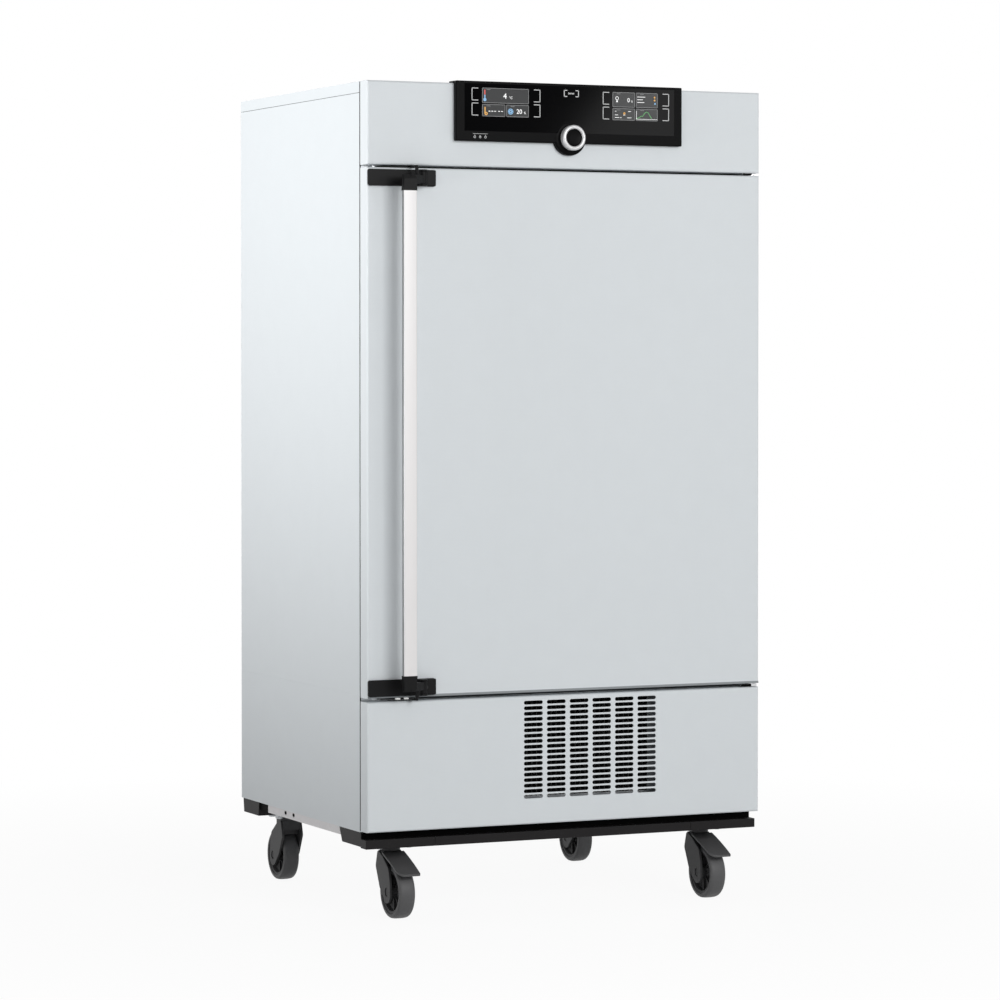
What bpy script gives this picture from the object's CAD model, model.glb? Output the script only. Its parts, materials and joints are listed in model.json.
import json
import math

import bmesh
import bpy
from mathutils import Matrix, Vector


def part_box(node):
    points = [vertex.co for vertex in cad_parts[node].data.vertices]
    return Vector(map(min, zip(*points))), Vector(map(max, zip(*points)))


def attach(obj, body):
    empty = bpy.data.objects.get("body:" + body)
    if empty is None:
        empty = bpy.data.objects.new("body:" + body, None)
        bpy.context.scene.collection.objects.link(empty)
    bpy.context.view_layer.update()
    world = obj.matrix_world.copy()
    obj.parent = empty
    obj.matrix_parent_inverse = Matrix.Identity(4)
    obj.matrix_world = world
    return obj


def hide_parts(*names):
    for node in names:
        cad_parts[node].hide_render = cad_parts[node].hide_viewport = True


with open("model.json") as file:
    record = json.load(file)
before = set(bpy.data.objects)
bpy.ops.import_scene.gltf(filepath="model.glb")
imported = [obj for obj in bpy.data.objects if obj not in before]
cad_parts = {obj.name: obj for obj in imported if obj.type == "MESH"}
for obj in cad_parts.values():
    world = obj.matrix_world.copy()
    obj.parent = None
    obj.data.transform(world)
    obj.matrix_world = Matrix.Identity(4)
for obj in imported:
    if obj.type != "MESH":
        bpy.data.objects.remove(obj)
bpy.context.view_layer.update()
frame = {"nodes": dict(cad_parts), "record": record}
cad = frame["nodes"]
print("cabinet frame loaded,", len(cad), "solids")

# Shapes are drawn in millimetres: x across, d behind the face of the door, z above the floor.
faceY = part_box("door_skin")[0].y * 1000


def nodeBox(node):
    low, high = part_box(node)
    return (
        (low.x * 1000, high.x * 1000),
        (low.y * 1000 - faceY, high.y * 1000 - faceY),
        (low.z * 1000, high.z * 1000),
    )


# Colours and finishes


def linear(*levels):
    # picture levels from 0 to 255 become the linear values that a shader takes
    out = [c / 255 / 12.92 if c <= 10 else ((c / 255 + 0.055) / 1.055) ** 2.4 for c in levels]
    return (*out, 1.0)


def newGroup(name, inputs):
    # an effect with a height for the relief and a shade for the colour
    group = bpy.data.node_groups.new(name, "ShaderNodeTree")
    for label, value in inputs:
        kind = "NodeSocketVector" if isinstance(value, tuple) else "NodeSocketFloat"
        group.interface.new_socket(name=label, in_out="INPUT", socket_type=kind).default_value = value
    for label in ("Height", "Shade"):
        group.interface.new_socket(name=label, in_out="OUTPUT", socket_type="NodeSocketFloat")
    return group, group.nodes.new("NodeGroupInput"), group.nodes.new("NodeGroupOutput")


def mathNode(tree, operation, *values):
    node = tree.nodes.new("ShaderNodeMath")
    node.operation = operation
    for socket, value in zip(node.inputs, values):
        if isinstance(value, (int, float)):
            socket.default_value = value
        else:
            tree.links.new(value, socket)
    return node.outputs[0]


def stretchedNoise(tree, scale, detail=3.0, rough=0.55, drive=None):
    coords = tree.nodes.new("ShaderNodeTexCoord")
    mapping = tree.nodes.new("ShaderNodeMapping")
    mapping.inputs["Scale"].default_value = scale
    noise = tree.nodes.new("ShaderNodeTexNoise")
    noise.inputs["Scale"].default_value = 1.0
    noise.inputs["Detail"].default_value = detail
    noise.inputs["Roughness"].default_value = rough
    tree.links.new(coords.outputs["Object"], mapping.inputs["Vector"])
    if drive is not None:
        tree.links.new(drive, mapping.inputs["Scale"])
    tree.links.new(mapping.outputs["Vector"], noise.inputs["Vector"])
    return noise.outputs["Fac"]


def closeGroup(group, given, result, tone):
    # the shade swings about 1 with the tone, by the share that the group is given
    swing = mathNode(group, "MULTIPLY", mathNode(group, "SUBTRACT", tone, 0.5), given.outputs["Shade"])
    group.links.new(mathNode(group, "ADD", swing, 1.0), result.inputs["Shade"])
    return group


def makeLinenGroup():
    # rolled linen structure of the casing sheet: short ribs that change direction like a weave
    group, given, result = newGroup("linen structure", [("Ribs per metre", 420.0), ("Shade", 0.05)])
    coords = group.nodes.new("ShaderNodeTexCoord")
    split = group.nodes.new("ShaderNodeSeparateXYZ")
    group.links.new(coords.outputs["Object"], split.inputs[0])
    geometry = group.nodes.new("ShaderNodeNewGeometry")
    facing = group.nodes.new("ShaderNodeSeparateXYZ")
    group.links.new(geometry.outputs["Normal"], facing.inputs[0])
    x, y, z = split.outputs
    flat = mathNode(group, "GREATER_THAN", mathNode(group, "ABSOLUTE", facing.outputs[2]), 0.7)
    across = mathNode(group, "ADD", x, y)
    along = mathNode(group, "ADD", z, mathNode(group, "MULTIPLY", flat, mathNode(group, "SUBTRACT", y, x)))
    turns = mathNode(group, "MULTIPLY", given.outputs[0], math.pi)
    warp = mathNode(group, "SINE", mathNode(group, "MULTIPLY", across, turns))
    weft = mathNode(group, "SINE", mathNode(group, "MULTIPLY", along, turns))
    over = mathNode(group, "GREATER_THAN", mathNode(group, "MULTIPLY", warp, weft), 0.0)
    high = mathNode(group, "MULTIPLY", over, mathNode(group, "ABSOLUTE", warp))
    low = mathNode(group, "MULTIPLY", mathNode(group, "SUBTRACT", 1.0, over), mathNode(group, "ABSOLUTE", weft))
    weave = mathNode(group, "ADD", high, low)
    cloud = stretchedNoise(group, (26.0, 26.0, 26.0), 4.0)
    group.links.new(weave, result.inputs["Height"])
    mix = mathNode(group, "ADD", mathNode(group, "MULTIPLY", weave, 0.6), mathNode(group, "MULTIPLY", cloud, 0.4))
    return closeGroup(group, given, result, mix)


def makeStreakGroup():
    # brushed or drawn metal: fine lines along one direction, softened by broad patches
    group, given, result = newGroup("drawn lines", [("Line scale", (4.0, 4.0, 900.0)), ("Shade", 0.12)])
    lines = stretchedNoise(group, (4.0, 4.0, 900.0), 2.0, 0.6, given.outputs["Line scale"])
    patches = stretchedNoise(group, (9.0, 9.0, 9.0), 3.0)
    both = mathNode(group, "ADD", mathNode(group, "MULTIPLY", lines, 0.75), mathNode(group, "MULTIPLY", patches, 0.25))
    group.links.new(lines, result.inputs["Height"])
    return closeGroup(group, given, result, both)


def makeGrainGroup():
    # spark-eroded grain of moulded plastic, and the skin of rubber
    group, given, result = newGroup("moulded grain", [("Grain scale", 1400.0), ("Shade", 0.2)])
    size = group.nodes.new("ShaderNodeCombineXYZ")
    for socket in size.inputs:
        group.links.new(given.outputs["Grain scale"], socket)
    grain = stretchedNoise(group, (1400.0, 1400.0, 1400.0), 2.0, 0.5, size.outputs[0])
    patches = stretchedNoise(group, (14.0, 14.0, 14.0), 3.0)
    both = mathNode(group, "ADD", mathNode(group, "MULTIPLY", grain, 0.5), mathNode(group, "MULTIPLY", patches, 0.5))
    group.links.new(grain, result.inputs["Height"])
    return closeGroup(group, given, result, both)


def makeSpangleGroup():
    # crystals of a zinc coat
    group, given, result = newGroup("zinc crystals", [("Crystals per metre", 110.0), ("Shade", 0.25)])
    coords = group.nodes.new("ShaderNodeTexCoord")
    cells = group.nodes.new("ShaderNodeTexVoronoi")
    group.links.new(coords.outputs["Object"], cells.inputs["Vector"])
    group.links.new(given.outputs[0], cells.inputs["Scale"])
    tone = group.nodes.new("ShaderNodeSeparateColor")
    group.links.new(cells.outputs["Color"], tone.inputs[0])
    group.links.new(cells.outputs["Distance"], result.inputs["Height"])
    return closeGroup(group, given, result, tone.outputs[0])


groups = {
    "linen": makeLinenGroup(),
    "streak": makeStreakGroup(),
    "grain": makeGrainGroup(),
    "spangle": makeSpangleGroup(),
}

# colour in picture levels, roughness, effect group with its first value and its share of shade,
# depth of the bump in mm, and where they matter metallic, coat, glow and gloss (specular level)
finishes = {
    "casing_steel": dict(
        colour=(219, 224, 227), rough=0.55, metal=0.02, group="linen",
        first=420.0, shade=0.08, bump=0.07, gloss=0.3,
    ),
    "galvanised": dict(
        colour=(196, 199, 202), rough=0.45, metal=0.6, group="spangle",
        first=110.0, shade=0.16, bump=0.01,
    ),
    "stainless": dict(
        colour=(200, 203, 206), rough=0.33, metal=0.85, group="streak",
        first=(3.0, 3.0, 700.0), shade=0.12, bump=0.02,
    ),
    "black_moulding": dict(colour=(15, 15, 16), rough=0.45, first=1500.0, shade=0.25, bump=0.04, gloss=0.12),
    "foot_moulding": dict(colour=(19, 17, 18), rough=0.5, first=900.0, shade=0.3, bump=0.06, gloss=0.17),
    "matt_black": dict(colour=(6, 6, 6), rough=0.7, first=900.0, shade=0.2, bump=0.02, gloss=0.04),
    "panel_black": dict(colour=(9, 9, 10), rough=0.3, first=1700.0, shade=0.2, bump=0.02, gloss=0.04),
    "black_glass": dict(colour=(2, 2, 3), rough=0.08, first=20.0, shade=0.2, bump=0.0, gloss=0.03),
    "screen": dict(colour=(46, 47, 48), rough=0.22, first=500.0, shade=0.1, bump=0.0, glow=0.1, gloss=0.2),
    "circuit_board": dict(colour=(22, 74, 46), rough=0.4, first=160.0, shade=0.35, bump=0.03),
    "bright_metal": dict(
        colour=(206, 206, 207), rough=0.3, metal=0.35, group="streak",
        first=(900.0, 900.0, 6.0), shade=0.05, bump=0.01,
    ),
    "bar_metal": dict(
        colour=(228, 226, 226), rough=0.42, metal=0.12, group="streak",
        first=(900.0, 900.0, 6.0), shade=0.05, bump=0.01,
    ),
    "bar_flank": dict(
        colour=(118, 120, 122), rough=0.3, metal=0.5, group="streak",
        first=(900.0, 900.0, 6.0), shade=0.05, bump=0.01, gloss=0.3,
    ),
    "rail_zinc": dict(
        colour=(216, 214, 215), rough=0.5, metal=0.15, group="spangle",
        first=90.0, shade=0.06, bump=0.01,
    ),
    "pin_steel": dict(
        colour=(205, 206, 208), rough=0.25, metal=0.95, group="streak",
        first=(200.0, 200.0, 900.0), shade=0.1, bump=0.01,
    ),
    "edge_grey": dict(colour=(146, 151, 154), rough=0.6, first=800.0, shade=0.1, bump=0.02, gloss=0.2),
    "seam_grey": dict(colour=(98, 102, 105), rough=0.7, first=800.0, shade=0.2, bump=0.02, gloss=0.1),
    "latch_white": dict(colour=(250, 250, 248), rough=0.4, first=1200.0, shade=0.06, bump=0.0, glow=0.2),
    "white_bush": dict(colour=(236, 236, 232), rough=0.4, first=1200.0, shade=0.06, bump=0.02),
    "gasket": dict(colour=(168, 169, 170), rough=0.7, first=900.0, shade=0.12, bump=0.05),
    "rubber_black": dict(colour=(34, 34, 34), rough=0.75, first=800.0, shade=0.3, bump=0.06),
    "mineral_wool": dict(colour=(206, 190, 132), rough=0.95, first=240.0, shade=0.5, bump=0.8),
    "copper_tube": dict(
        colour=(205, 132, 98), rough=0.3, metal=0.95, group="streak",
        first=(60.0, 60.0, 60.0), shade=0.3, bump=0.01,
    ),
    "condenser_metal": dict(
        colour=(14, 14, 15), rough=0.7, metal=0.1, group="streak",
        first=(60.0, 60.0, 500.0), shade=0.2, bump=0.01,
    ),
    "compressor_black": dict(colour=(24, 24, 25), rough=0.35, first=500.0, shade=0.3, bump=0.05, coat=0.3),
    "motor_grey": dict(colour=(92, 94, 97), rough=0.45, metal=0.3, first=700.0, shade=0.2, bump=0.03),
    "fan_plastic": dict(colour=(40, 41, 43), rough=0.5, first=1100.0, shade=0.2, bump=0.03),
    "caster_grey": dict(colour=(58, 58, 59), rough=0.5, first=1300.0, shade=0.3, bump=0.05, gloss=0.25),
    "pedal_grey": dict(colour=(80, 80, 81), rough=0.5, first=1300.0, shade=0.25, bump=0.05, gloss=0.3),
    "tyre_grey": dict(colour=(88, 88, 89), rough=0.5, first=1000.0, shade=0.2, bump=0.04, gloss=0.3),
    "frame_grey": dict(colour=(140, 141, 142), rough=0.5, first=900.0, shade=0.1, bump=0.0, glow=0.05),
    "print_grey": dict(colour=(185, 186, 186), rough=0.5, first=900.0, shade=0.1, bump=0.0, glow=0.25),
    "digit_white": dict(colour=(236, 237, 237), rough=0.5, first=900.0, shade=0.05, bump=0.0, glow=0.5),
    "icon_blue": dict(colour=(120, 168, 206), rough=0.4, first=600.0, shade=0.2, bump=0.0, glow=0.3),
    "icon_red": dict(colour=(206, 74, 66), rough=0.4, first=600.0, shade=0.2, bump=0.0, glow=0.3),
    "icon_orange": dict(colour=(214, 158, 74), rough=0.4, first=600.0, shade=0.2, bump=0.0, glow=0.3),
    "icon_green": dict(colour=(96, 176, 104), rough=0.4, first=600.0, shade=0.2, bump=0.0, glow=0.3),
}


def makeFinish(name, colour, rough, first, shade, bump, metal=0.0, group="grain", coat=0.0, glow=0.0, gloss=0.5):
    material = bpy.data.materials.new(name)
    material.use_nodes = True
    tree = material.node_tree
    surface = tree.nodes["Principled BSDF"]
    effect = tree.nodes.new("ShaderNodeGroup")
    effect.node_tree = groups[group]
    effect.inputs[0].default_value = first
    effect.inputs["Shade"].default_value = shade
    tint = tree.nodes.new("ShaderNodeMix")
    tint.data_type = "RGBA"
    tint.blend_type = "MULTIPLY"
    tint.inputs["Factor"].default_value = 1.0
    tint.inputs[6].default_value = linear(*colour)
    tree.links.new(effect.outputs["Shade"], tint.inputs[7])
    tree.links.new(tint.outputs[2], surface.inputs["Base Color"])
    wear = mathNode(tree, "MULTIPLY", effect.outputs["Shade"], rough)
    tree.links.new(wear, surface.inputs["Roughness"])
    surface.inputs["Metallic"].default_value = metal
    surface.inputs["Coat Weight"].default_value = coat
    surface.inputs["Specular IOR Level"].default_value = gloss
    if glow:
        tree.links.new(tint.outputs[2], surface.inputs["Emission Color"])
        surface.inputs["Emission Strength"].default_value = glow
    if bump:
        relief = tree.nodes.new("ShaderNodeBump")
        relief.inputs["Strength"].default_value = 0.6
        relief.inputs["Distance"].default_value = bump / 1000
        tree.links.new(effect.outputs["Height"], relief.inputs["Height"])
        tree.links.new(relief.outputs["Normal"], surface.inputs["Normal"])
    material.diffuse_color = linear(*colour)
    return material


def makePane():
    material = bpy.data.materials.new("pane")
    material.use_nodes = True
    tree = material.node_tree
    surface = tree.nodes["Principled BSDF"]
    surface.inputs["Base Color"].default_value = linear(240, 246, 244)
    surface.inputs["Transmission Weight"].default_value = 1.0
    surface.inputs["IOR"].default_value = 1.45
    effect = tree.nodes.new("ShaderNodeGroup")
    effect.node_tree = groups["grain"]
    effect.inputs[0].default_value = 30.0
    effect.inputs["Shade"].default_value = 0.4
    tree.links.new(mathNode(tree, "MULTIPLY", effect.outputs["Shade"], 0.03), surface.inputs["Roughness"])
    return material


materials = {name: makeFinish(name, **values) for name, values in finishes.items()}
materials["pane"] = makePane()
slotOf = {entry["node"]: entry["material_slot"] for entry in frame["record"]["subparts"]}
for name, solid in cad.items():
    solid.data.materials.clear()
    solid.data.materials.append(materials[slotOf[name]])
cad["base_trim"].data.materials[0] = materials["foot_moulding"]
cad["base_rails"].data.materials[0] = materials["rail_zinc"]
print("finishes mixed:", len(materials))


# Making pieces


def absorb(shape, part):
    # adds a finished part to a shape, closed and with its faces outwards
    bmesh.ops.remove_doubles(part, verts=part.verts, dist=0.001)
    bmesh.ops.recalc_face_normals(part, faces=part.faces)
    mesh = bpy.data.meshes.new("part")
    part.to_mesh(mesh)
    part.free()
    shape.from_mesh(mesh)
    bpy.data.meshes.remove(mesh)


def bevelEdges(part, edges, width, segments=2):
    if width and edges:
        bmesh.ops.bevel(
            part, geom=edges, offset=width, offset_type="OFFSET", segments=segments,
            profile=0.5, affect="EDGES", clamp_overlap=True, material=-1,
        )


def addBlock(shape, x, d, z, edge=0.0, segments=2, corner=0.0, cornerAxis=1):
    # a block; corner rounds the four edges along one axis, edge rounds the rest
    centre = Vector(((x[0] + x[1]) / 2, (d[0] + d[1]) / 2, (z[0] + z[1]) / 2))
    size = Vector((x[1] - x[0], d[1] - d[0], z[1] - z[0]))
    part = bmesh.new()
    bmesh.ops.create_cube(part, size=1.0, matrix=Matrix.LocRotScale(centre, None, size))

    def lies(e):
        way = e.verts[1].co - e.verts[0].co
        return abs(way[cornerAxis]) > 0.99 * way.length

    if corner:
        bevelEdges(part, [e for e in part.edges if lies(e)], corner, 5)
        bevelEdges(part, [e for e in part.edges if e.calc_face_angle(0) > 1.3], edge, segments)
    else:
        bevelEdges(part, list(part.edges), edge, segments)
    absorb(shape, part)


def addTurned(shape, profile, centre, axis, steps=64, closed=True):
    # a lathe shape: the profile is (radius, distance along the axis)
    axis = Vector(axis).normalized()
    side = axis.orthogonal().normalized()
    part = bmesh.new()
    points = [part.verts.new(Vector(centre) + side * r + axis * h) for r, h in profile]
    pairs = list(zip(points, points[1:]))
    if closed:
        pairs.append((points[-1], points[0]))
    edges = [part.edges.new(pair) for pair in pairs]
    bmesh.ops.spin(
        part, geom=points + edges, cent=centre, axis=axis, dvec=(0, 0, 0), angle=math.tau,
        steps=steps, use_merge=True, use_normal_flip=False, use_duplicate=False,
    )
    absorb(shape, part)


def addText(shape, text, x, z, d, height, thickness=0.2, align="CENTER"):
    # plain figures as raised print on a face towards the front
    curve = bpy.data.curves.new("figures", "FONT")
    curve.body = text
    curve.size = height
    curve.align_x = align
    curve.align_y = "CENTER"
    curve.extrude = thickness / 2
    holder = bpy.data.objects.new("figures", curve)
    bpy.context.scene.collection.objects.link(holder)
    bpy.context.view_layer.update()
    mesh = bpy.data.meshes.new_from_object(holder.evaluated_get(bpy.context.evaluated_depsgraph_get()))
    part = bmesh.new()
    part.from_mesh(mesh)
    place = Matrix.Translation((x, d, z)) @ Matrix.Rotation(math.radians(90), 4, "X")
    bmesh.ops.transform(part, matrix=place, verts=part.verts)
    bpy.data.meshes.remove(mesh)
    bpy.data.objects.remove(holder)
    bpy.data.curves.remove(curve)
    absorb(shape, part)


def finishPiece(shape, name, body, slot, finish=None, stands=(), sharp=12):
    scale = Matrix.Scale(0.001, 4) @ Matrix.Translation((0, faceY, 0))
    bmesh.ops.transform(shape, matrix=scale, verts=shape.verts)
    for face in shape.faces:
        face.smooth = True
    for edge in shape.edges:
        edge.smooth = edge.calc_face_angle(3.0) < math.radians(sharp)
    mesh = bpy.data.meshes.new(name)
    shape.to_mesh(mesh)
    shape.free()
    piece = bpy.data.objects.new(name, mesh)
    bpy.context.scene.collection.objects.link(piece)
    mesh.materials.append(materials[finish or slot])
    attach(piece, body)
    if stands:
        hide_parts(*stands)
    return piece


def softened(node, body, slot, edge, finish=None, segments=2, angle=32, name=None, reshape=None):
    # a copy of a solid with its hard edges broken, as a mould or a press leaves them
    shape = bmesh.new()
    shape.from_mesh(cad[node].data)
    bmesh.ops.transform(shape, matrix=Matrix.Translation((0, -faceY, 0)) @ Matrix.Scale(1000, 4), verts=shape.verts)
    bmesh.ops.remove_doubles(shape, verts=shape.verts, dist=0.01)
    bmesh.ops.dissolve_limit(shape, angle_limit=math.radians(1.0), verts=shape.verts, edges=shape.edges, delimit=set())
    if reshape:
        reshape(shape)
    edges = [e for e in shape.edges if e.is_manifold and e.calc_face_angle(0) > math.radians(angle)]
    bevelEdges(shape, edges, edge, segments)
    bmesh.ops.recalc_face_normals(shape, faces=shape.faces)
    return finishPiece(shape, name or node + "_moulded", body, slot, finish, (node,))


# Control panel

panel = {
    "height": 112.5,
    "edgeRadius": 2.2,
    "lipHeight": 4,
    "lobeRadius": 33.0,
    "lobeCentre": 1467.0,
    "screenWidth": 96.0,
    "screenHeight": 53.0,
    "screenOffset": 136.0,
    "screenTop": 1556.5,
    "tileSplit": 22.5,
    "tileGap": 2.4,
    "tileFrame": 0.8,
    "tileRaise": 0.3,
}

# places of the marks, across and above the floor
marks = {
    "supplyDashes": (-171, -165, -159, -151, -145),
    "fanCentre": (-125.5, 1513.5),
    "fanBlades": 6,
    "lampCentre": (97.5, 1545),
    "listLengths": (17, 12, 15),
    "values": (
        (93, 1520, 3), (93, 1513, 7), (111, 1513, 4), (121, 1520, 6), (104, 1508, 3), (119, 1508, 9), (93, 1508, 9),
    ),
    "curve": (
        (140, 1507.5), (145, 1509.5), (149, 1512.5), (152, 1512), (156, 1517.5),
        (160, 1520.5), (164, 1519), (167, 1514), (171, 1508.5),
    ),
    "keyFrames": ((-205.5, -192), (-63.7, -77), (67.5, 81), (208.6, 195)),
    "keyHeights": ((1532.5, 1556.3), (1504.4, 1528.3)),
    "smallRings": (-199, -188, -177),
    "ringHeight": 1464.4,
}


def tileFrame(shape, x, z, d, width):
    # a thin line round a tile
    for bar in (
        ((x[0], x[1]), (z[1] - width, z[1])), ((x[0], x[1]), (z[0], z[0] + width)),
        ((x[0], x[0] + width), (z[0], z[1])), ((x[1] - width, x[1]), (z[0], z[1])),
    ):
        addBlock(shape, bar[0], (d - 0.16, d), bar[1])


def makeControlPanel():
    x, d, z = nodeBox("control_bezel")
    z = (z[1] - panel["height"], z[1])
    gx, gd, gz = nodeBox("control_glass")
    front = gd[0] - 0.2
    bezel = bmesh.new()
    addBlock(bezel, x, (front, 0), z, panel["edgeRadius"], 3)
    addBlock(bezel, x, (-2, d[1]), (z[1] - panel["lipHeight"], z[1]), 1.2, 2)
    r = panel["lobeRadius"]
    centre = (0, 0, panel["lobeCentre"])
    addTurned(bezel, [
        (0, 0), (r, 0), (r, -front - 3.0), (r - 0.7, -front - 1.2), (r - 2.2, -front - 0.2), (r - 4, -front + 0.2),
        (r - 8.5, -front + 0.5), (r - 9.5, -front + 1.0), (r - 10, -front + 2.2), (r - 10, -front + 4), (0, -front + 4),
    ], centre, (0, -1, 0), 96, closed=False)
    finishPiece(bezel, "control_bezel_moulded", "cabinet", "panel_black", stands=("control_bezel",))

    pane = bmesh.new()
    face = front - 0.25
    addBlock(pane, gx, (face, front + 2), (gz[0], gz[1] - 0.6), 0.35, 2)
    finishPiece(pane, "control_glass_plate", "cabinet", "black_glass", stands=("control_glass",))

    tiles, frames, figures = bmesh.new(), bmesh.new(), bmesh.new()
    blue, red, orange, green = bmesh.new(), bmesh.new(), bmesh.new(), bmesh.new()
    top = panel["screenTop"]
    low = top - panel["screenHeight"]
    split = low + panel["tileSplit"]
    gap = panel["tileGap"]
    layout = []
    for side, centreX in (("left", -panel["screenOffset"]), ("right", panel["screenOffset"])):
        x0 = centreX - panel["screenWidth"] / 2
        x1 = centreX + panel["screenWidth"] / 2
        middle = centreX + 0.5
        if side == "left":
            layout.append(((x0, x1), (split + gap, top)))
        else:
            layout.append(((x0, middle - gap / 2), (split + gap, top)))
            layout.append(((middle + gap / 2, x1), (split + gap, top)))
        layout.append(((x0, middle - gap / 2), (low, split)))
        layout.append(((middle + gap / 2, x1), (low, split)))
    ink = face - panel["tileRaise"]
    for tx, tz in layout:
        addBlock(tiles, tx, (ink, face), tz, 0.12, 1)
        tileFrame(frames, tx, tz, ink, panel["tileFrame"])
        addBlock(frames, (tx[0] + 9, tx[0] + 17), (ink - 0.1, ink), (tz[1] - 3.4, tz[1] - 2.7))
    mark = ink - 0.25
    # left display: large figure with a thermometer, a supply row, a fan with its share
    addText(figures, "4", -137, 1541.5, ink - 0.1, 15)
    addText(figures, "°C", -128.5, 1539, ink - 0.1, 6.5, align="LEFT")
    addText(figures, "20", -107.5, 1513.5, ink - 0.1, 12)
    addText(figures, "%", -98, 1511.5, ink - 0.1, 6, align="LEFT")
    for dx in marks["supplyDashes"]:
        addBlock(figures, (dx, dx + 3.6), (ink - 0.2, ink), (1512.6, 1513.8))
    addBlock(red, (-179.8, -177.4), (mark, ink), (1544, 1553), 0.4, 1)
    addBlock(blue, (-179.8, -177.4), (mark, ink), (1536, 1543.5), 0.4, 1)
    addTurned(blue, [(0, 0), (3.2, 0), (3.2, 0.3), (0, 0.3)], (-178.6, ink, 1534.5), (0, -1, 0), 24, closed=False)
    addBlock(orange, (-179.4, -177.2), (mark, ink), (1508, 1521), 0.4, 1)
    addTurned(orange, [(1.2, 0), (3.0, 0), (3.0, 0.3), (1.2, 0.3)], (-176, ink, 1508.5), (0, -1, 0), 24)
    fanX, fanZ = marks["fanCentre"]
    addTurned(blue, [(4.4, 0), (5.6, 0), (5.6, 0.3), (4.4, 0.3)], (fanX, ink, fanZ), (0, -1, 0), 32)
    for k in range(marks["fanBlades"]):
        angle = k * math.tau / marks["fanBlades"]
        place = (fanX + 2.6 * math.cos(angle), ink, fanZ + 2.6 * math.sin(angle))
        addTurned(blue, [(0, 0), (1.45, 0), (1.45, 0.3), (0, 0.3)], place, (0, -1, 0), 16, closed=False)
    # right display: lamp share, a short list, a row of small values, a rising curve
    addText(figures, "0", 122, 1541.5, ink - 0.1, 11)
    addText(figures, "%", 127.5, 1539.5, ink - 0.1, 5, align="LEFT")
    lampX, lampZ = marks["lampCentre"]
    addTurned(figures, [(2.6, 0), (3.5, 0), (3.5, 0.3), (2.6, 0.3)], (lampX, ink, lampZ), (0, -1, 0), 24)
    addBlock(figures, (96, 99), (mark, ink), (1537.5, 1540.8))
    for row, length in enumerate(marks["listLengths"]):
        height = 1548.2 - row * 5.2
        addBlock(figures, (140.5, 140.5 + length), (mark + 0.05, ink), (height, height + 1))
    dot = [(0, 0), (1.7, 0), (1.7, 0.3), (0, 0.3)]
    for row in range(2):
        addTurned(orange, dot, (177.5, ink, 1548.5 - row * 5.5), (0, -1, 0), 16, closed=False)
    addTurned(blue, dot, (178.5, ink, 1536.5), (0, -1, 0), 16, closed=False)
    for px, pz, w in marks["values"]:
        addBlock(figures, (px, px + w), (mark + 0.05, ink), (pz, pz + 0.9))
    addTurned(orange, [(0.8, 0), (2.2, 0), (2.2, 0.3), (0.8, 0.3)], (113, ink, 1516.5), (0, -1, 0), 16)
    for (ax, az), (bx, bz) in zip(marks["curve"], marks["curve"][1:]):
        stroke = bmesh.new()
        length = math.hypot(bx - ax, bz - az)
        addBlock(stroke, (-0.3, length + 0.3), (mark, ink), (-0.45, 0.45))
        turn = Matrix.Translation((ax, 0, az)) @ Matrix.Rotation(-math.atan2(bz - az, bx - ax), 4, "Y")
        bmesh.ops.transform(stroke, matrix=turn, verts=stroke.verts)
        absorb(green, stroke)
    addBlock(figures, (138.6, 183), (mark + 0.1, ink), (1506.2, 1506.8))
    addBlock(figures, (138.6, 139.2), (mark + 0.1, ink), (1506.2, 1522))
    finishPiece(tiles, "display_tiles", "cabinet", "screen", stands=("displays",))
    finishPiece(frames, "display_frames", "cabinet", "screen", "frame_grey")
    finishPiece(figures, "display_figures", "cabinet", "screen", "digit_white")
    for shape, name in ((blue, "icon_blue"), (red, "icon_red"), (orange, "icon_orange"), (green, "icon_green")):
        finishPiece(shape, "display_" + name, "cabinet", "screen", name)

    prints = bmesh.new()
    face -= 0.05

    def printed(x, z):
        addBlock(prints, x, (face - 0.12, face + 0.05), z)

    def keyFrame(x0, x1, z0, z1, line=1.4):
        # an upright stroke at x0 with two short arms towards x1
        s = 1 if x1 > x0 else -1
        printed(sorted((x0, x0 + s * line)), (z0, z1))
        printed(sorted((x0, x1)), (z1 - line, z1))
        printed(sorted((x0, x1)), (z0, z0 + line))

    for x0, x1 in marks["keyFrames"]:
        for z0, z1 in marks["keyHeights"]:
            keyFrame(x0, x1, z0, z1)
    keyFrame(-14.5, -7.5, 1544.5, 1557.5, 1.6)
    keyFrame(-5.5, -5.4, 1549.0, 1553.0, 0.9)
    keyFrame(17, 10, 1544.5, 1557.5, 1.6)
    for k in range(4):
        printed((-3.6 + k * 2.9, -1.8 + k * 2.9), (1549.6, 1552.4))
    printed((-203, -173), (1470.2, 1470.8))
    for cx in marks["smallRings"]:
        place = (cx, front, marks["ringHeight"])
        addTurned(prints, [(1.5, 0), (2.3, 0), (2.3, 0.12), (1.5, 0.12)], place, (0, -1, 0), 20)
    printed((-199.4, -198.6), (1466.4, 1468.4))
    printed((-188.4, -187.6), (1464.4, 1467.6))
    printed((-177.4, -176.6), (1465.6, 1468.6))
    finishPiece(prints, "panel_print", "cabinet", "panel_black", "print_grey")


knob = {"radius": 24.0, "capRadius": 16.0, "height": 13.0}


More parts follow.
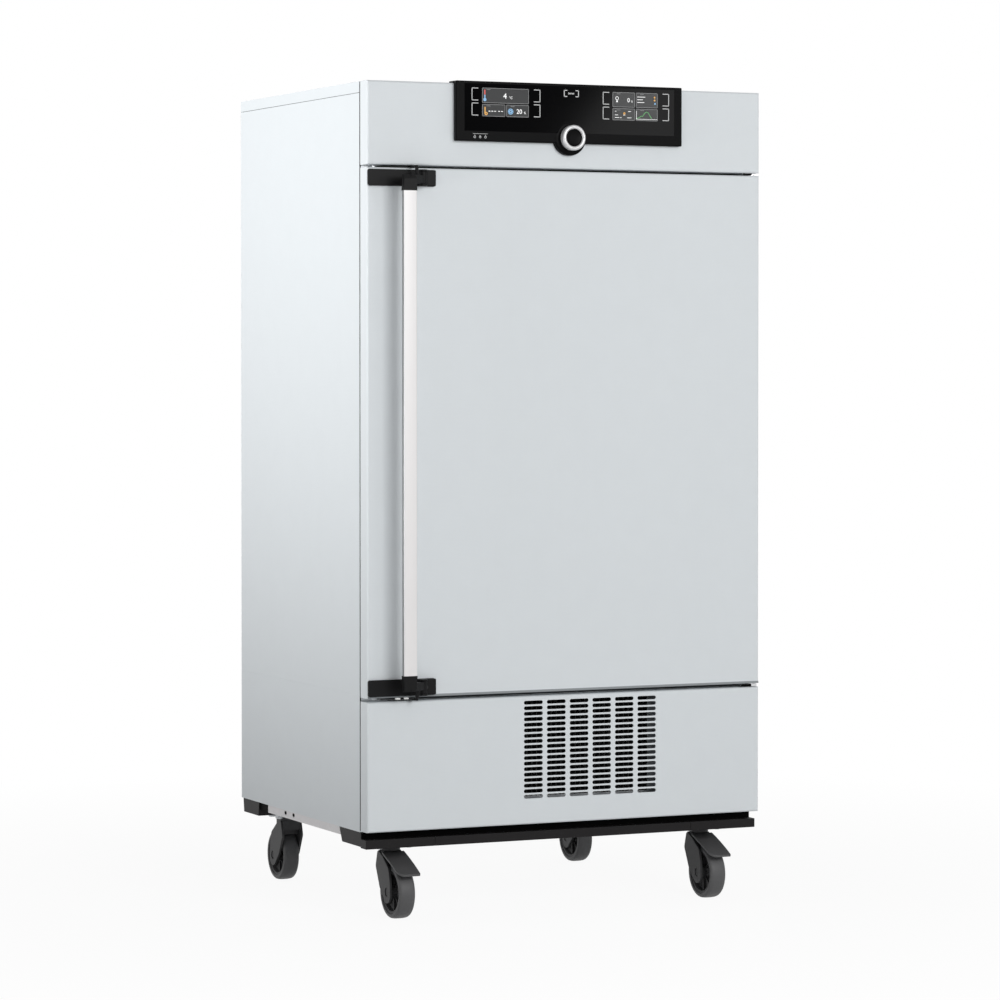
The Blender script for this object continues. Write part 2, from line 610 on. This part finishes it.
def makeKnob():
    d, z = nodeBox("knob_ring")[1:]
    centre = (0, d[1], (z[0] + z[1]) / 2)
    r, c, h = knob["radius"], knob["capRadius"], knob["height"]
    ring = bmesh.new()
    profile = [(3.1, 0), (r - 1.2, 0), (r, 1.0), (r, h - 4)]
    for k in range(17):
        angle = math.pi * k / 16
        profile.append(((r + c + 0.3) / 2 + (r - c - 0.3) / 2 * math.cos(angle), h - 4 + 4 * math.sin(angle)))
    profile += [(c + 0.3, 4), (3.1, 4)]
    addTurned(ring, profile, centre, (0, -1, 0), 96)
    finishPiece(ring, "knob_ring_turned", "knob", "bright_metal", stands=("knob_ring",))
    cap = bmesh.new()
    addTurned(cap, [
        (0, 4.2), (c - 0.3, 4.2), (c - 0.1, 5), (c - 0.1, h - 2.6), (c - 0.5, h - 1.8), (c - 1.4, h - 1.6),
        (c - 2.4, h - 2.0), (c - 6, h - 2.5), (0, h - 2.8),
    ], centre, (0, -1, 0), 80, closed=False)
    finishPiece(cap, "knob_cap_moulded", "knob", "panel_black", stands=("knob_cap",))


makeControlPanel()
makeKnob()
print("control panel and knob made")


# Casters

caster = {
    "tyreRadius": 50.0,
    "tyreWidth": 32.0,
    "tyreInner": 41.1,
    "hubRadius": 41.0,
    "spokes": 8,
    "trail": 36,
    "plateHalf": (40, 28),
    "plateHeights": (137.2, 140),
    "boltPlace": (30, 19),
    "cupBase": 124.3,
    "webHalf": 18.2,
    "webPlace": (30, 34),
    "webLow": 85,
    "webBelowHead": 14,
}


def makeWheel(end, side):
    x, d, z = nodeBox(f"{end}_{side}_tyre")
    centre = ((x[0] + x[1]) / 2, (d[0] + d[1]) / 2, (z[0] + z[1]) / 2)
    half = caster["tyreWidth"] / 2
    r, inner = caster["tyreRadius"], caster["tyreInner"]
    tyre = bmesh.new()
    profile = [(inner, -half + 1.2), (inner + 1.2, -half)]
    crown = [
        (46.0, -half), (47.4, -half + 0.7), (48.6, -half + 2.2),
        (49.4, -half + 4.8), (49.8, -half + 8), (r, -half + 12),
    ]
    profile += crown + [(rr, -h) for rr, h in reversed(crown)] + [(inner + 1.2, half), (inner, half - 1.2)]
    addTurned(tyre, profile, centre, (1, 0, 0), 96)
    tyreNode, hubNode, body = f"{end}_{side}_tyre", f"{end}_{side}_hub", f"{end}_{side}_wheel"
    finishPiece(tyre, tyreNode + "_moulded", body, "tyre_grey", stands=(tyreNode,), sharp=28)
    hub = bmesh.new()
    rim = caster["hubRadius"]
    addTurned(hub, [
        (5.05, -half - 1), (11.5, -half - 1), (12.5, -half), (12.8, -6), (15, -3.6), (30, -3.2), (34.5, -6),
        (36, -half + 3), (37, -half + 2.2), (rim, -half + 2), (rim, half - 2), (37, half - 2.2), (36, half - 3),
        (34.5, 6), (30, 3.2), (15, 3.6), (12.8, 6), (12.5, half), (11.5, half + 1), (5.05, half + 1),
    ], centre, (1, 0, 0), 64)
    for k in range(caster["spokes"]):
        rib = bmesh.new()
        addBlock(rib, (-8.5, 8.5), (-1.4, 1.4), (12, 36.5), 0.5, 1)
        turn = Matrix.Translation(centre) @ Matrix.Rotation(k * math.tau / caster["spokes"], 4, "X")
        bmesh.ops.transform(rib, matrix=turn, verts=rib.verts)
        absorb(hub, rib)
    finishPiece(hub, hubNode + "_moulded", body, "caster_grey", stands=(hubNode,))


for end in ("front", "rear"):
    for side in ("left", "right"):
        makeWheel(end, side)
        softened(f"{end}_{side}_fork", f"{end}_{side}_caster", "caster_grey", 1.1)
        if end == "front":
            softened(f"{end}_{side}_pedal", f"{end}_{side}_brake", "caster_grey", 0.9, "pedal_grey")


def makeCasterPlates():
    # plates with their bolt heads, and the swivel cups below them
    plates, cups = bmesh.new(), bmesh.new()
    across, deep = caster["plateHalf"]
    boltX, boltD = caster["boltPlace"]
    low = caster["plateHeights"][0]
    bolt = [(0, 0), (7.0, 0), (7.5, 0.5), (7.5, 6.2), (6.4, 7.4), (0, 7.4)]
    for end in ("front", "rear"):
        for side in ("left", "right"):
            x = nodeBox(f"{end}_{side}_fork")[0]
            px = (x[0] + x[1]) / 2
            wheel = nodeBox(f"{end}_{side}_hub")[1]
            pd = (wheel[0] + wheel[1]) / 2 + (caster["trail"] if end == "front" else -caster["trail"])
            plate = ((px - across, px + across), (pd - deep, pd + deep), caster["plateHeights"])
            addBlock(plates, *plate, 0.4, 1, corner=5, cornerAxis=2)
            for sx in (-1, 1):
                for sd in (-1, 1):
                    addTurned(plates, bolt, (px + sx * boltX, pd + sd * boltD, low), (0, 0, -1), 6, closed=False)
            addTurned(cups, [
                (8.1, 0), (18.2, 0), (19, 0.8), (19, 9), (21, 11.5), (26, 12.9), (8.1, 12.9),
            ], (px, pd, caster["cupBase"]), (0, 0, 1), 48)
    finishPiece(plates, "caster_plates_zinc", "cabinet", "caster_grey", "galvanised", stands=("caster_plates",))
    finishPiece(cups, "caster_swivel_cups", "cabinet", "caster_grey", "caster_grey")


def makeForkWebs():
    # the skirt under each fork head, which closes the fork above the tyre
    for end in ("front", "rear"):
        for side in ("left", "right"):
            x, d, z = nodeBox(f"{end}_{side}_hub")
            px, pd = (x[0] + x[1]) / 2, (d[0] + d[1]) / 2
            way = 1 if end == "front" else -1
            web = bmesh.new()
            place = sorted(pd + way * step for step in caster["webPlace"])
            top = nodeBox(f"{end}_{side}_fork")[2][1] - caster["webBelowHead"]
            width = (px - caster["webHalf"], px + caster["webHalf"])
            addBlock(web, width, place, (z[0] + caster["webLow"], top), 0.4, 1)
            finishPiece(web, f"{end}_{side}_fork_web", f"{end}_{side}_caster", "caster_grey")


makeCasterPlates()
makeForkWebs()
print("casters made")


# Handle

handle = {
    "barTrim": 2.8,
    "barEdge": 2.6,
    "postSlim": 0.35,
    "postDepth": 12,
    "socketDepth": 24.0,
    "padPlaces": (-1.0, 16.0),
    "padHalf": 4.3,
    "padDepth": (4, 12),
    "padHeight": 2.9,
}


def slimLever(shape):
    # the sockets narrow with the bar, and the latch posts taper towards the tongues
    x = nodeBox("handle_bar")[0]
    d = nodeBox("handle_levers")[1]
    z = nodeBox("handle_brackets")[2]
    width = x[1] - x[0]
    for vert in shape.verts:
        if vert.co.y < d[0] + handle["socketDepth"] and x[0] - 0.1 < vert.co.x < x[1] + 0.1:
            vert.co.x = x[0] + (vert.co.x - x[0]) * (1 - handle["barTrim"] / width)
    centre, reach = (z[0] + z[1]) / 2, (z[1] - z[0]) / 2 + 1
    for side in (-1, 1):
        post = [v for v in shape.verts if side * (v.co.z - centre) > reach and v.co.y < handle["postDepth"]]
        if post:
            middle = sum((v.co for v in post), Vector()) / len(post)
            for vert in post:
                vert.co.x = middle.x + (vert.co.x - middle.x) * handle["postSlim"]


def makeHandle():
    softened("handle_brackets", "door", "black_moulding", 0.9)
    softened("handle_levers", "handle", "black_moulding", 1.0, reshape=slimLever)
    x, d, z = nodeBox("handle_bar")
    bar = bmesh.new()
    addBlock(bar, (x[0], x[1] - handle["barTrim"]), d, z, corner=handle["barEdge"], cornerAxis=2)
    drawn = finishPiece(
        bar, "handle_bar_drawn", "handle", "bright_metal", "bar_metal", stands=("handle_bar",), sharp=40,
    )
    drawn.data.materials.append(materials["bar_flank"])
    for face in drawn.data.polygons:
        face.material_index = 1 if abs(face.normal.x) > 0.75 else 0
    middle = (x[0] + x[1]) / 2
    low = nodeBox("handle_levers")[2][0]
    pads = bmesh.new()
    for offset in handle["padPlaces"]:
        width = (middle + offset - handle["padHalf"], middle + offset + handle["padHalf"])
        addBlock(pads, width, handle["padDepth"], (low - 0.1, low + handle["padHeight"]), 0.4, 1)
    finishPiece(pads, "latch_pads", "handle", "white_bush", "latch_white")


feet = {"outerFace": 400, "widen": 2.5}


def widenFeet(shape):
    # the corner feet stand out a little further than their solids
    for vert in shape.verts:
        if abs(vert.co.x) > feet["outerFace"]:
            vert.co.x += math.copysign(feet["widen"], vert.co.x)


makeHandle()
softened("base_trim", "cabinet", "black_moulding", 0.8, "foot_moulding", reshape=widenFeet)


bracket = {"height": 31.0, "blockWidth": 20.0, "blockFace": -9.5, "ridgeWidth": 3.2, "ridgeFace": -10.5, "back": -3}


def makeBracketDetails():
    # the thicker end block, the ridge beside the pivot and the screw hole of the lower bracket
    x, z = nodeBox("handle_brackets")[::2]
    height, back = bracket["height"], bracket["back"]
    blocks, holes = bmesh.new(), bmesh.new()
    blockLow = x[1] - bracket["blockWidth"]
    for z0 in (z[0], z[1] - height):
        addBlock(blocks, (blockLow, x[1] - 0.6), (bracket["blockFace"], back), (z0 + 0.6, z0 + height - 0.6), 1.8, 3)
        ridge = (blockLow - 1 - bracket["ridgeWidth"], blockLow - 1)
        addBlock(blocks, ridge, (bracket["ridgeFace"], back), (z0 + 0.8, z0 + height - 0.8), 1.2, 3)
    addTurned(holes, [
        (0, 0), (3.4, 0), (3.4, 0.5), (2.6, 0.8), (0, 0.4),
    ], (blockLow - 1, bracket["ridgeFace"], z[0] + 15), (0, -1, 0), 32, closed=False)
    finishPiece(blocks, "bracket_end_blocks", "door", "black_moulding")
    finishPiece(holes, "bracket_screw", "door", "pin_steel", "rubber_black")


makeBracketDetails()
print("handle made")


# Casing details

front = {
    "bandWidth": 409.7,
    "bandFace": 34.0,
    "bandBack": 35.9,
    "bandHeight": 14,
    "seamFace": 36.6,
    "seamBack": 37.0,
    "gapFace": 35.6,
    "gapStart": -340,
    "hingeCover": 22.0,
    "hingeCoverDepth": (2.2, 2.95),
    "edgeStrip": 4.6,
    "edgeStripRaise": 0.3,
}


def makeFrontBand():
    # the dark moulded band above the front strip, between the corner feet
    top = nodeBox("base_trim")[2][1]
    band = bmesh.new()
    depth = (front["bandFace"], front["bandBack"])
    addBlock(band, (-front["bandWidth"], front["bandWidth"]), depth, (top - front["bandHeight"], top - 0.2), 0.4, 1)
    finishPiece(band, "front_band", "cabinet", "black_moulding", "matt_black")


def makeSeams():
    # black strips at the sides and above the door, grey ones below it and along the lid, and hinge covers
    x, d, z = nodeBox("side_panel_left")
    edge = x[0]
    face = nodeBox("door_skin")
    door = face[2]
    header = nodeBox("header_panel")[2]
    lower = nodeBox("lower_panel")[2]
    hinge = nodeBox("door_hinge_brackets")[0][0]
    strips = bmesh.new()
    for sign in (-1, 1):
        span = sorted((sign * (-edge - 0.1), sign * (-edge - 2.6)))
        addBlock(strips, span, (front["seamFace"], front["seamBack"]), (lower[0] + 1, header[1] - 1.5))
    gapWidth, gapDepth = (front["gapStart"], hinge - 0.3), (front["gapFace"], front["seamBack"])
    addBlock(strips, gapWidth, gapDepth, (door[1] + 0.6, header[0] - 0.4))
    finishPiece(strips, "front_seams", "cabinet", "rubber_black", "rubber_black")
    greys = bmesh.new()
    addBlock(greys, gapWidth, gapDepth, (lower[1] + 0.4, door[0] - 2.4))
    lid = z[1] + 1
    for sign in (-1, 1):
        span = sorted((sign * (-edge - 0.9), sign * (-edge - 0.1)))
        addBlock(greys, span, (front["seamBack"] + 1, d[1] - 1), (lid - 1.5, lid + 0.2))
    finishPiece(greys, "casing_seams", "cabinet", "rubber_black", "seam_grey")
    # a flat grey strip on the door's lower edge, where the photo has a grey band above the gap
    strip = bmesh.new()
    width = (face[0][0] + 0.6, face[0][1] - 0.6)
    depth = (face[1][0] - front["edgeStripRaise"], face[1][0] + 0.1)
    addBlock(strip, width, depth, (door[0] + 0.3, door[0] + front["edgeStrip"]), 0.1, 1)
    finishPiece(strip, "door_edge_strip", "door", "casing_steel", "edge_grey")
    covers = bmesh.new()
    for gap in ((door[1] + 1.1, door[1] + 3.9), (door[0] - 5.9, door[0] - 1.1)):
        addBlock(covers, (hinge, hinge + front["hingeCover"]), front["hingeCoverDepth"], gap, 0.2, 1)
    finishPiece(covers, "hinge_covers", "cabinet", "rubber_black", "matt_black")


rail = {
    "footDepth": 36,
    "holeLength": 11.0,
    "holeHeight": 6.4,
    "holeRise": 1.5,
    "holePlaces": (175.0, 133.0),
    "depth": 17.0,
    "returnLength": 38.0,
}


def makeRailDetails():
    # oblong fixing holes of the side rails and the black return behind each rear foot
    x, d, z = nodeBox("base_rails")
    foot = d[1] - rail["footDepth"]
    middle = z[1] - rail["depth"] / 2 + rail["holeRise"]
    holes, returns = bmesh.new(), bmesh.new()
    for face, out in ((x[0], -1), (x[1], 1)):
        skin = sorted((face + out * 0.2, face - out * 0.3))
        for back in rail["holePlaces"]:
            across = (foot - back - rail["holeLength"] / 2, foot - back + rail["holeLength"] / 2)
            height = (middle - rail["holeHeight"] / 2, middle + rail["holeHeight"] / 2)
            addBlock(holes, skin, across, height, corner=3, cornerAxis=0)
        skin = sorted((face + out * 0.8, face - out * 0.1))
        addBlock(returns, skin, (foot - rail["returnLength"], foot + 0.5), (z[1] - rail["depth"], z[1]), 0.3, 1)
    finishPiece(holes, "rail_holes", "cabinet", "rubber_black", "matt_black")
    finishPiece(returns, "foot_returns", "cabinet", "black_moulding", "matt_black")


makeFrontBand()
makeSeams()
makeRailDetails()


screws = {
    "edge": 404,
    "edgeHeights": (200, 400, 620, 860, 1100, 1340, 1510),
    "rowPlaces": (-240, 0, 240),
    "rowHeight": 414,
    "head": ((0, 0), (4.0, 0), (4.0, 0.8), (3.4, 1.7), (2.0, 2.3), (0, 2.5)),
    "recess": 2.45,
}


def makeRearDetails():
    # pan-head screws along the rear edges, with a cross recess
    rear = nodeBox("side_panel_left")[1][1]
    heads, slots = bmesh.new(), bmesh.new()
    places = [(side * screws["edge"], z) for side in (-1, 1) for z in screws["edgeHeights"]]
    places += [(x, screws["rowHeight"]) for x in screws["rowPlaces"]]
    for sx, sz in places:
        addTurned(heads, screws["head"], (sx, rear, sz), (0, 1, 0), 24, closed=False)
        recess = Matrix.Translation((sx, rear + screws["recess"], sz))
        for turn in (0, 90):
            bar = bmesh.new()
            addBlock(bar, (-1.8, 1.8), (-0.25, 0.25), (-0.35, 0.35))
            bmesh.ops.transform(bar, matrix=recess @ Matrix.Rotation(math.radians(turn), 4, "Y"), verts=bar.verts)
            absorb(slots, bar)
    finishPiece(heads, "rear_screw_heads", "cabinet", "pin_steel")
    finishPiece(slots, "rear_screw_recesses", "cabinet", "rubber_black")


makeRearDetails()
print("casing details made")


# Studio

studio = {
    "cameraPlace": (-3.0916, -6.7241, 1.0472),
    "cameraYaw": 24.726,
    "cameraPitch": 1.066,
    "cameraLens": 135.06,
    "cameraShift": -0.07,
    "worldStrength": 0.33,
    "floorTone": 0.86,
    "floorWhite": 0.93,
    "floorSize": 60.0,
    "floorFade": (0.7, 2.2),
}

# name: place, aim, width and height, power, turn in degrees
lamps = {
    "front light": ((0.45, -4.8, 2.25), (0.0, -0.3, 1.0), (1.9, 1.7), 92.0, 0),
    "gloss light": ((2.45, -4.6, 1.86), (0.0, -0.3, 1.5), (0.42, 0.9), 11.0, -38),
    "side light": ((-3.0, 0.0, 0.75), (-2.18, 0.0, 3.45), (2.0, 1.4), 125.0, 0),
}


def makeCamera():
    data = bpy.data.cameras.new("camera")
    data.sensor_width = 36.0
    data.lens = studio["cameraLens"]
    data.shift_y = studio["cameraShift"]
    data.clip_end = 100.0
    camera = bpy.data.objects.new("camera", data)
    camera.location = studio["cameraPlace"]
    camera.rotation_euler = (math.radians(90 - studio["cameraPitch"]), 0, -math.radians(studio["cameraYaw"]))
    bpy.context.scene.collection.objects.link(camera)
    bpy.context.scene.camera = camera


def addLamp(name, place, aim, size, power, turn):
    data = bpy.data.lights.new(name, "AREA")
    data.shape = "RECTANGLE"
    data.size, data.size_y = size
    data.energy = power
    lamp = bpy.data.objects.new(name, data)
    lamp.location = place
    facing = (Vector(aim) - Vector(place)).to_track_quat("-Z", "Y").to_matrix()
    lamp.rotation_euler = (facing @ Matrix.Rotation(math.radians(turn), 3, "Z")).to_euler()
    bpy.context.scene.collection.objects.link(lamp)


def seenRays(tree):
    # 1 where the camera sees a place directly, in a reflection or through glass
    light = tree.nodes.new("ShaderNodeLightPath")
    seen = mathNode(tree, "MAXIMUM", light.outputs["Is Camera Ray"], light.outputs["Is Glossy Ray"])
    return mathNode(tree, "MAXIMUM", seen, light.outputs["Is Transmission Ray"])


def makeFloor():
    # a light floor that fades into the white background
    part = bmesh.new()
    bmesh.ops.create_grid(part, x_segments=1, y_segments=1, size=studio["floorSize"])
    mesh = bpy.data.meshes.new("floor")
    part.to_mesh(mesh)
    part.free()
    floor = bpy.data.objects.new("floor", mesh)
    bpy.context.scene.collection.objects.link(floor)
    material = bpy.data.materials.new("floor")
    material.use_nodes = True
    tree = material.node_tree
    surface = tree.nodes["Principled BSDF"]
    surface.inputs["Base Color"].default_value = (*[studio["floorTone"]] * 3, 1)
    surface.inputs["Roughness"].default_value = 0.9
    coords = tree.nodes.new("ShaderNodeTexCoord")
    length = tree.nodes.new("ShaderNodeVectorMath")
    length.operation = "LENGTH"
    tree.links.new(coords.outputs["Object"], length.inputs[0])
    fade = tree.nodes.new("ShaderNodeMapRange")
    fade.inputs["From Min"].default_value, fade.inputs["From Max"].default_value = studio["floorFade"]
    fade.inputs["To Min"].default_value = studio["floorWhite"]
    tree.links.new(length.outputs["Value"], fade.inputs["Value"])
    seen = seenRays(tree)
    glow = tree.nodes.new("ShaderNodeEmission")
    glow.inputs["Strength"].default_value = 1.0
    mix = tree.nodes.new("ShaderNodeMixShader")
    tree.links.new(mathNode(tree, "MULTIPLY", seen, fade.outputs["Result"]), mix.inputs[0])
    tree.links.new(surface.outputs[0], mix.inputs[1])
    tree.links.new(glow.outputs[0], mix.inputs[2])
    tree.links.new(mix.outputs[0], tree.nodes["Material Output"].inputs["Surface"])
    mesh.materials.append(material)


def makeWorld():
    # white where the camera looks, a weaker even light for everything else
    world = bpy.data.worlds.new("studio")
    bpy.context.scene.world = world
    world.use_nodes = True
    tree = world.node_tree
    ambient = tree.nodes["Background"]
    ambient.inputs["Color"].default_value = (1, 1, 1, 1)
    ambient.inputs["Strength"].default_value = studio["worldStrength"]
    white = tree.nodes.new("ShaderNodeBackground")
    white.inputs["Color"].default_value = (1, 1, 1, 1)
    white.inputs["Strength"].default_value = 1.0
    mix = tree.nodes.new("ShaderNodeMixShader")
    tree.links.new(seenRays(tree), mix.inputs[0])
    tree.links.new(ambient.outputs[0], mix.inputs[1])
    tree.links.new(white.outputs[0], mix.inputs[2])
    tree.links.new(mix.outputs[0], tree.nodes["World Output"].inputs["Surface"])


makeCamera()
makeFloor()
makeWorld()
for name, values in lamps.items():
    addLamp(name, *values)
bpy.context.scene.view_settings.view_transform = "Standard"
print("studio ready")
